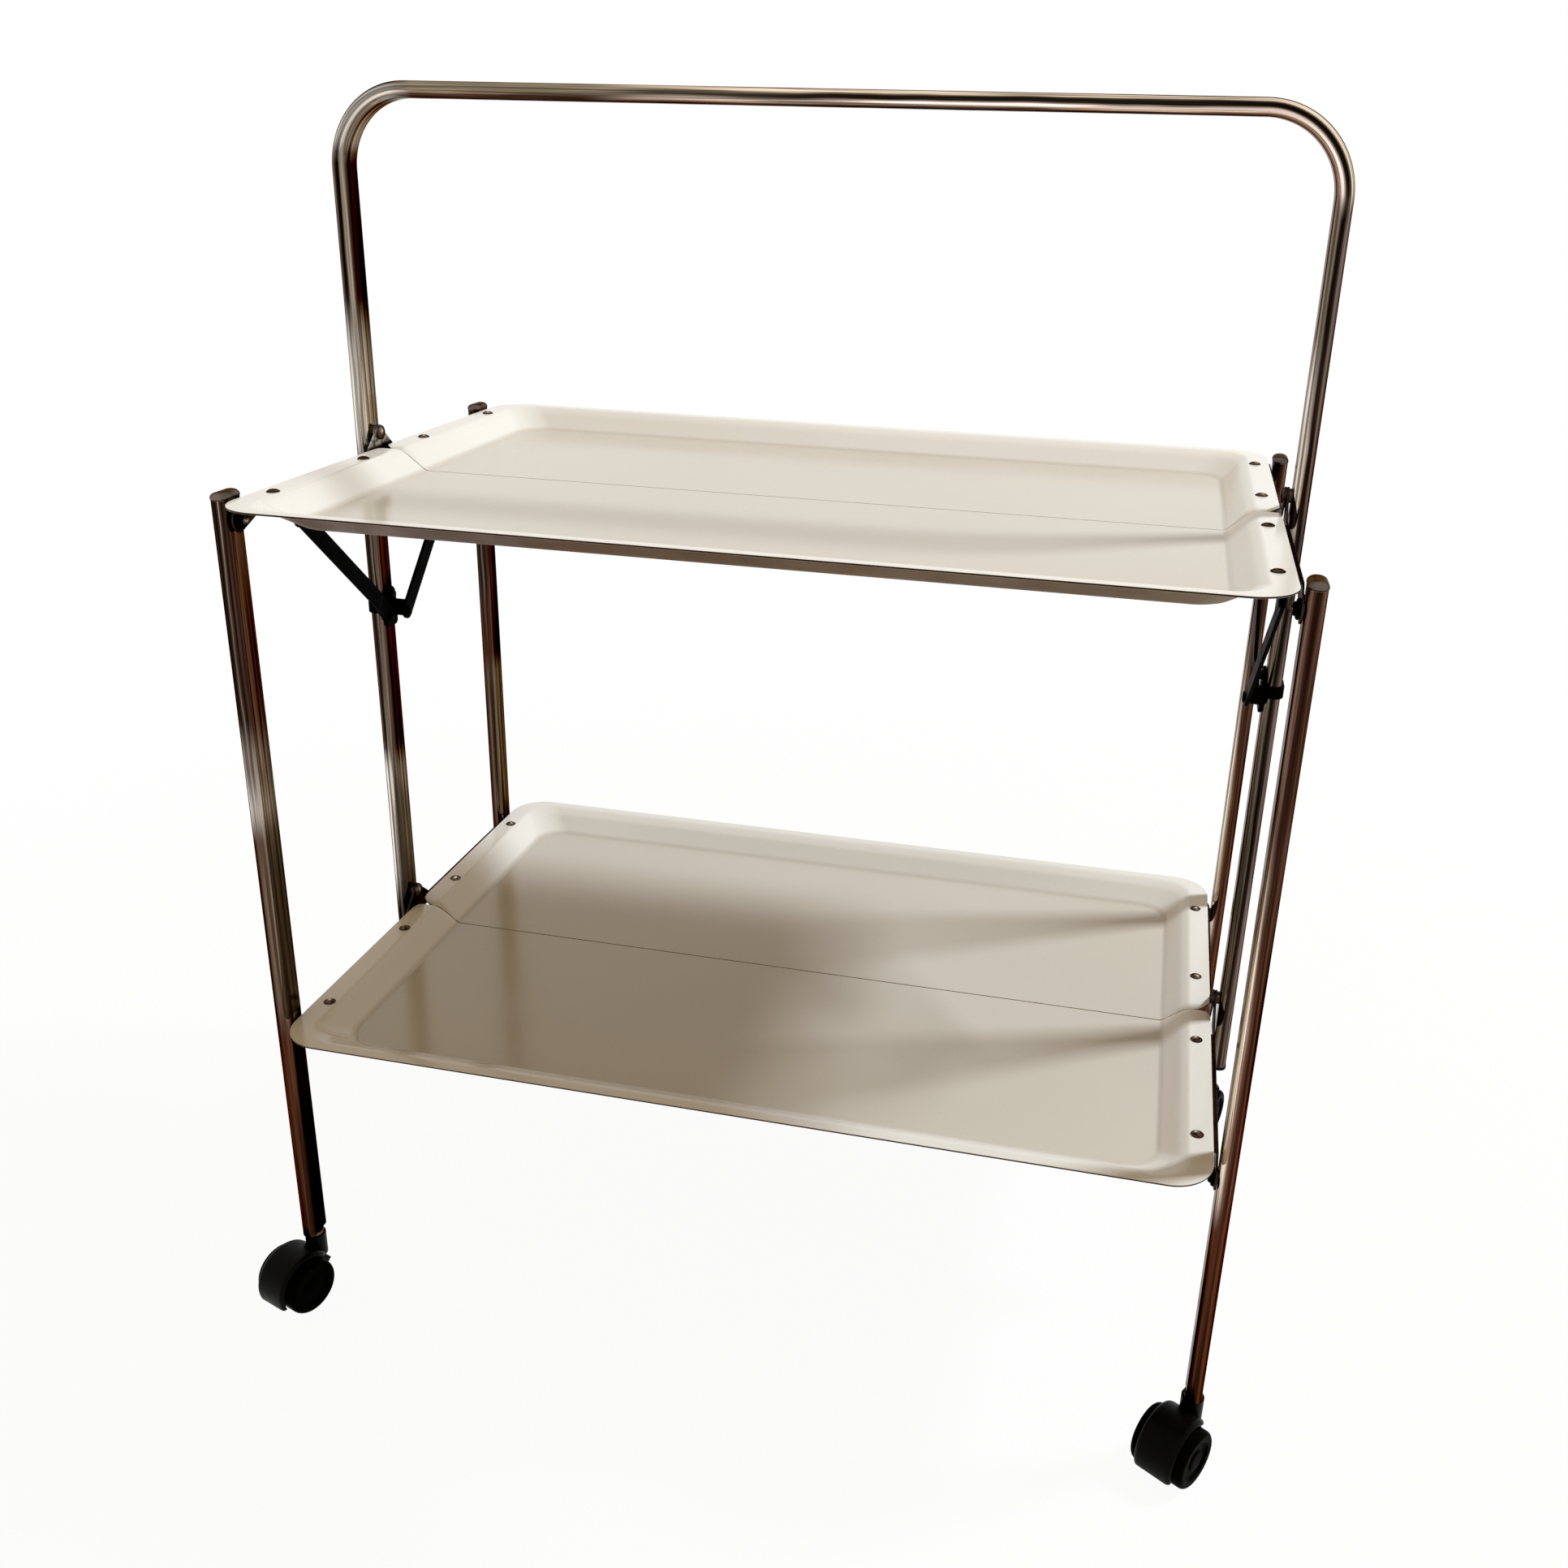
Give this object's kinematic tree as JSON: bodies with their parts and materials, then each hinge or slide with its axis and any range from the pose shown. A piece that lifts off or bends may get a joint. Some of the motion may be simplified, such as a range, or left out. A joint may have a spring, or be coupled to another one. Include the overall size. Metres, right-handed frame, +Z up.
{
  "type": "folding serving trolley",
  "caption": "Folding serving trolley with upper and lower enamelled trays split lengthwise, flat-oval tube legs, a tall hooped handle frame, folding struts and twin-wheel castors.",
  "frame": {"origin": "on the floor, under the middle of the trolley", "axes": "+Z up, +X along the trolley's length to its right end, +Y to its rear"},
  "size_m": [0.701, 0.4524, 0.8392],
  "materials": {
    "ivory_enamel": "gloss enamel",
    "chrome_tube": "bright plated",
    "chrome_pin": "bright plated",
    "chrome_cap": "bright plated",
    "plated_bracket": "satin plated",
    "castor_steel": "satin plated",
    "black_steel": "satin black",
    "black_plastic": "satin black"
  },
  "bodies": {
    "centre_frame": {"handle_frame": "chrome_tube", "frame_plug_left": "black_plastic", "frame_plug_right": "black_plastic", "hinge_pin_upper_left": "chrome_pin", "hinge_pin_upper_right": "chrome_pin", "hinge_pin_lower_left": "chrome_pin", "hinge_pin_lower_right": "chrome_pin"},
    "upper_front": {"tray_upper_front": "ivory_enamel", "bracket_upper_front_left": "plated_bracket", "bracket_upper_front_right": "plated_bracket"},
    "upper_rear": {"tray_upper_rear": "ivory_enamel", "bracket_upper_rear_left": "plated_bracket", "bracket_upper_rear_right": "plated_bracket"},
    "lower_front": {"tray_lower_front": "ivory_enamel", "bracket_lower_front_left": "plated_bracket", "bracket_lower_front_right": "plated_bracket"},
    "lower_rear": {"tray_lower_rear": "ivory_enamel", "bracket_lower_rear_left": "plated_bracket", "bracket_lower_rear_right": "plated_bracket"},
    "front_legs": {"leg_front_left": "chrome_tube", "leg_front_right": "chrome_tube", "leg_cap_front_left": "chrome_cap", "leg_cap_front_right": "chrome_cap", "castor_stem_front_left": "castor_steel", "castor_stem_front_right": "castor_steel"},
    "rear_legs": {"leg_rear_left": "chrome_tube", "leg_rear_right": "chrome_tube", "leg_cap_rear_left": "chrome_cap", "leg_cap_rear_right": "chrome_cap", "castor_stem_rear_left": "castor_steel", "castor_stem_rear_right": "castor_steel"},
    "runners": {"runner_left": "black_plastic", "runner_right": "black_plastic", "runner_pin_front_left": "black_steel", "runner_pin_front_right": "black_steel", "runner_pin_rear_left": "black_steel", "runner_pin_rear_right": "black_steel"},
    "latch_left": {"latch_button_left": "black_plastic"},
    "latch_right": {"latch_button_right": "black_plastic"},
    "front_struts": {"strut_front_left": "black_steel", "strut_front_right": "black_steel"},
    "rear_struts": {"strut_rear_left": "black_steel", "strut_rear_right": "black_steel"},
    "castor_front_left": {"castor_hood_front_left": "black_plastic", "castor_axle_front_left": "castor_steel"},
    "castor_front_right": {"castor_hood_front_right": "black_plastic", "castor_axle_front_right": "castor_steel"},
    "castor_rear_left": {"castor_hood_rear_left": "black_plastic", "castor_axle_rear_left": "castor_steel"},
    "castor_rear_right": {"castor_hood_rear_right": "black_plastic", "castor_axle_rear_right": "castor_steel"},
    "wheel_front_left_a": {"castor_wheel_front_left_a": "black_plastic"},
    "wheel_front_left_b": {"castor_wheel_front_left_b": "black_plastic"},
    "wheel_front_right_a": {"castor_wheel_front_right_a": "black_plastic"},
    "wheel_front_right_b": {"castor_wheel_front_right_b": "black_plastic"},
    "wheel_rear_left_a": {"castor_wheel_rear_left_a": "black_plastic"},
    "wheel_rear_left_b": {"castor_wheel_rear_left_b": "black_plastic"},
    "wheel_rear_right_a": {"castor_wheel_rear_right_a": "black_plastic"},
    "wheel_rear_right_b": {"castor_wheel_rear_right_b": "black_plastic"}
  },
  "joints": [
    {"name": "fold_upper_front", "type": "hinge", "parent": "centre_frame", "child": "upper_front", "pos_m": [0, 0, 0.61], "axis": [-1, 0, 0], "range_deg": [0, 70]},
    {"name": "fold_upper_rear", "type": "hinge", "parent": "centre_frame", "child": "upper_rear", "pos_m": [0, 0, 0.61], "axis": [1, 0, 0], "range_deg": [0, 70]},
    {"name": "fold_lower_front", "type": "hinge", "parent": "centre_frame", "child": "lower_front", "pos_m": [0, 0, 0.2457], "axis": [-1, 0, 0], "range_deg": [0, 70]},
    {"name": "fold_lower_rear", "type": "hinge", "parent": "centre_frame", "child": "lower_rear", "pos_m": [0, 0, 0.2457], "axis": [1, 0, 0], "range_deg": [0, 70]},
    {"name": "front_leg_pivot", "type": "hinge", "parent": "upper_front", "child": "front_legs", "pos_m": [0, -0.179, 0.5864], "axis": [1, 0, 0], "range_deg": [0, 70]},
    {"name": "rear_leg_pivot", "type": "hinge", "parent": "upper_rear", "child": "rear_legs", "pos_m": [0, 0.179, 0.5864], "axis": [-1, 0, 0], "range_deg": [0, 70]},
    {"name": "runner_slide", "type": "slide", "parent": "centre_frame", "child": "runners", "axis": [0, 0, 1], "range_m": [0, 0.1004]},
    {"name": "front_strut_pivot", "type": "hinge", "parent": "runners", "child": "front_struts", "pos_m": [0, -0.0075, 0.477], "axis": [-1, 0, 0], "range_deg": [0, 20.5]},
    {"name": "rear_strut_pivot", "type": "hinge", "parent": "runners", "child": "rear_struts", "pos_m": [0, 0.0075, 0.477], "axis": [1, 0, 0], "range_deg": [0, 20.5]},
    {"name": "latch_press_left", "type": "slide", "parent": "runners", "child": "latch_left", "axis": [-1, 0, 0], "range_m": [0, 0.0015], "stiffness_N_per_m": 600, "springref_m": -0.002},
    {"name": "latch_press_right", "type": "slide", "parent": "runners", "child": "latch_right", "axis": [1, 0, 0], "range_m": [0, 0.0015], "stiffness_N_per_m": 600, "springref_m": -0.002},
    {"name": "swivel_front_left", "type": "hinge", "parent": "front_legs", "child": "castor_front_left", "pos_m": [-0.319, -0.179, 0.04], "axis": [0, 0, 1], "continuous": true},
    {"name": "swivel_front_right", "type": "hinge", "parent": "front_legs", "child": "castor_front_right", "pos_m": [0.319, -0.179, 0.04], "axis": [0, 0, 1], "continuous": true},
    {"name": "swivel_rear_left", "type": "hinge", "parent": "rear_legs", "child": "castor_rear_left", "pos_m": [-0.319, 0.179, 0.04], "axis": [0, 0, 1], "continuous": true},
    {"name": "swivel_rear_right", "type": "hinge", "parent": "rear_legs", "child": "castor_rear_right", "pos_m": [0.319, 0.179, 0.04], "axis": [0, 0, 1], "continuous": true},
    {"name": "roll_front_left_a", "type": "hinge", "parent": "castor_front_left", "child": "wheel_front_left_a", "pos_m": [-0.32594, -0.19861, 0.0201], "axis": [0.9426, -0.3338, 0], "continuous": true},
    {"name": "roll_front_left_b", "type": "hinge", "parent": "castor_front_left", "child": "wheel_front_left_b", "pos_m": [-0.32594, -0.19861, 0.0201], "axis": [0.9426, -0.3338, 0], "continuous": true},
    {"name": "roll_front_right_a", "type": "hinge", "parent": "castor_front_right", "child": "wheel_front_right_a", "pos_m": [0.30819, -0.19677, 0.0201], "axis": [0.8545, -0.5195, 0], "continuous": true},
    {"name": "roll_front_right_b", "type": "hinge", "parent": "castor_front_right", "child": "wheel_front_right_b", "pos_m": [0.30819, -0.19677, 0.0201], "axis": [0.8545, -0.5195, 0], "continuous": true},
    {"name": "roll_rear_left_a", "type": "hinge", "parent": "castor_rear_left", "child": "wheel_rear_left_a", "pos_m": [-0.30819, 0.19677, 0.0201], "axis": [0.8545, -0.5195, 0], "continuous": true},
    {"name": "roll_rear_left_b", "type": "hinge", "parent": "castor_rear_left", "child": "wheel_rear_left_b", "pos_m": [-0.30819, 0.19677, 0.0201], "axis": [0.8545, -0.5195, 0], "continuous": true},
    {"name": "roll_rear_right_a", "type": "hinge", "parent": "castor_rear_right", "child": "wheel_rear_right_a", "pos_m": [0.32594, 0.19861, 0.0201], "axis": [0.9426, -0.3338, 0], "continuous": true},
    {"name": "roll_rear_right_b", "type": "hinge", "parent": "castor_rear_right", "child": "wheel_rear_right_b", "pos_m": [0.32594, 0.19861, 0.0201], "axis": [0.9426, -0.3338, 0], "continuous": true}
  ],
  "couplings": [
    {"joint": "fold_upper_rear", "follows": "fold_upper_front", "ratio": 1},
    {"joint": "fold_lower_front", "follows": "fold_upper_front", "ratio": 1},
    {"joint": "fold_lower_rear", "follows": "fold_upper_front", "ratio": 1},
    {"joint": "front_leg_pivot", "follows": "fold_upper_front", "ratio": 1},
    {"joint": "rear_leg_pivot", "follows": "fold_upper_front", "ratio": 1},
    {"joint": "runner_slide", "follows": "fold_upper_front", "m_per_rad": 0.08211},
    {"joint": "front_strut_pivot", "follows": "fold_upper_front", "ratio": 0.29206},
    {"joint": "rear_strut_pivot", "follows": "fold_upper_front", "ratio": 0.29206}
  ]
}
